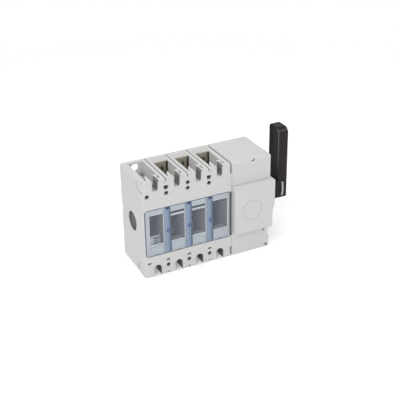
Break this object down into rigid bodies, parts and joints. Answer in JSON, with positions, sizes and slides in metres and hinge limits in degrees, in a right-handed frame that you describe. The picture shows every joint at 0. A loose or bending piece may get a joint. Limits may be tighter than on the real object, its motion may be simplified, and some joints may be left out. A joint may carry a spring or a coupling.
{
  "type": "switch disconnector",
  "caption": "Moulded rotary switch disconnector with clear windows, screw terminals, a closed snap mechanism and a black lever on the side.",
  "frame": {"origin": "centre of the panel hole rectangle on the back face, level with the rotor axis", "axes": "+X towards the side lever, -Y out of the front windows, +Z towards the upper terminals"},
  "size_m": [0.2621, 0.092, 0.184],
  "materials": {
    "housing": "fine moulded texture",
    "insulator": "fine moulded texture",
    "window": "clear, faintly blue",
    "holder_plastic": "smooth",
    "card": "printed card, left bare",
    "tinned_copper": "dull plated",
    "copper": "drawn copper",
    "bright_steel": "zinc plated",
    "spring_steel": "drawn wire and strip",
    "chute_steel": "bare sheet",
    "frame_steel": "zinc plated sheet",
    "bush_bronze": "sintered",
    "rotor_plastic": "moulded thermoset",
    "fibre": "pressed fibre",
    "black_plastic": "satin moulded",
    "tongue_plastic": "satin moulded"
  },
  "bodies": {
    "switch_body": {"arc_cheeks_1": "fibre", "arc_cheeks_2": "fibre", "arc_cheeks_3": "fibre", "arc_plates_1": "chute_steel", "arc_plates_2": "chute_steel", "arc_plates_3": "chute_steel", "case_screws": "bright_steel", "flange_screws": "bright_steel", "frame_spacers": "bright_steel", "front_cover": "housing", "handle_flange": "black_plastic", "label_card": "card", "label_holder": "holder_plastic", "left_frame_plate": "frame_steel", "lower_bar_1": "tinned_copper", "lower_bar_2": "tinned_copper", "lower_bar_3": "tinned_copper", "lower_housing_cover": "housing", "lower_rear_block_1": "insulator", "lower_rear_block_2": "insulator", "lower_rear_block_3": "insulator", "mechanism_case": "housing", "middle_housing_cover": "housing", "rear_case": "housing", "right_frame_plate": "frame_steel", "shaft_bush": "bush_bronze", "spring_anchor": "bright_steel", "stop_pins": "bright_steel", "terminal_nuts": "bright_steel", "upper_bar_1": "tinned_copper", "upper_bar_2": "tinned_copper", "upper_bar_3": "tinned_copper", "upper_housing_cover": "housing", "upper_rear_block_1": "insulator", "upper_rear_block_2": "insulator", "upper_rear_block_3": "insulator", "window_cover": "window", "window_screws": "bright_steel"},
    "rotor_group": {"rotor": "rotor_plastic", "rotor_end_cap": "rotor_plastic", "blade_pins": "bright_steel", "leaf_springs": "spring_steel", "crank": "frame_steel", "crank_pin": "bright_steel", "moving_blades_1": "copper", "moving_blades_2": "copper", "moving_blades_3": "copper"},
    "lever_group": {"side_lever": "black_plastic", "lever_pin": "bright_steel", "lever_shaft": "frame_steel", "drive_plate": "frame_steel"},
    "spring_pair": {"toggle_springs": "spring_steel"},
    "tongue": {"padlock_tongue": "tongue_plastic"}
  },
  "joints": [
    {"name": "lever_turn", "type": "hinge", "parent": "switch_body", "child": "lever_group", "pos_m": [0.15, -0.0395, 0], "axis": [1, 0, 0], "range_deg": [0, 90]},
    {"name": "rotor_turn", "type": "hinge", "parent": "switch_body", "child": "rotor_group", "pos_m": [0, -0.0395, 0], "axis": [1, 0, 0], "range_deg": [0, 60]},
    {"name": "spring_swing", "type": "hinge", "parent": "switch_body", "child": "spring_pair", "pos_m": [0.098, -0.0395, 0.03], "axis": [1, 0, 0], "range_deg": [0, 20.8]},
    {"name": "tongue_slide", "type": "slide", "parent": "lever_group", "child": "tongue", "axis": [0, -1, 0], "range_m": [0, 0.012]}
  ],
  "couplings": [
    {"joint": "rotor_turn", "follows": "lever_turn", "ratio": 0.6666},
    {"joint": "spring_swing", "follows": "lever_turn", "ratio": 0.2297}
  ]
}
